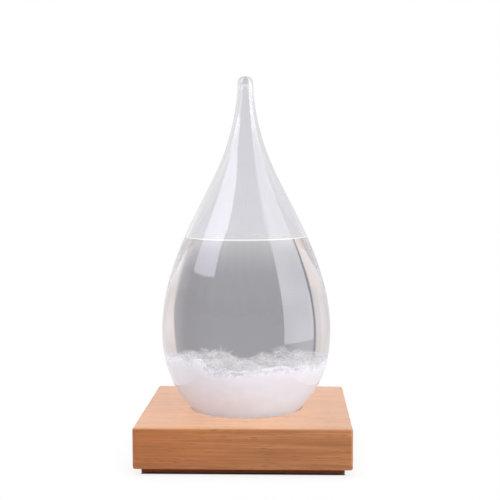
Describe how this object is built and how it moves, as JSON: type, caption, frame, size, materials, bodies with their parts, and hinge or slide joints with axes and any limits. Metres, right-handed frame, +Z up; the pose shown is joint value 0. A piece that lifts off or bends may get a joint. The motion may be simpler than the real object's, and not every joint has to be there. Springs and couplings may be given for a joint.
{
  "type": "storm glass",
  "caption": "Sealed drop-shaped glass with camphor solution and settled white crystals, standing loose in the round socket of a square beech base with a recessed lower plate.",
  "frame": {"origin": "centre of the underside, on the plane of the table the felt pads rest on", "axes": "+Z up along the drop's axis, +Y towards the back, +X to the right seen from the front"},
  "size_m": [0.12, 0.12, 0.2216],
  "materials": {
    "beech": "satin oiled steamed beech, fine flecked grain",
    "beech_dark": "beech in the shadow gap, stained darker",
    "cork": "fine pressed cork",
    "clear_glass": "clear flame-polished blown glass",
    "solution": "clear colourless solution",
    "crystals": "translucent white feathery camphor crystals",
    "felt": "short dense felt"
  },
  "bodies": {
    "base": {"base_block": "beech", "base_plate": "beech_dark", "foot_pad_front_left": "felt", "foot_pad_front_right": "felt", "foot_pad_back_left": "felt", "foot_pad_back_right": "felt"},
    "seat": {"seat_pad": "cork"},
    "drop": {"glass_drop": "clear_glass", "tip_seal": "clear_glass", "storm_liquid": "solution", "crystal_bed": "crystals", "crystal_tuft_01": "crystals", "crystal_tuft_02": "crystals", "crystal_tuft_03": "crystals", "crystal_tuft_04": "crystals", "crystal_tuft_05": "crystals", "crystal_tuft_06": "crystals", "crystal_tuft_07": "crystals", "crystal_tuft_08": "crystals", "crystal_tuft_09": "crystals"}
  },
  "joints": [
    {"name": "glass_turn", "type": "hinge", "parent": "base", "child": "seat", "pos_m": [0, 0, 0.0261], "axis": [0, 0, 1], "continuous": true},
    {"name": "glass_lift", "type": "slide", "parent": "seat", "child": "drop", "axis": [0, 0, 1], "range_m": [0, 0.06]}
  ]
}
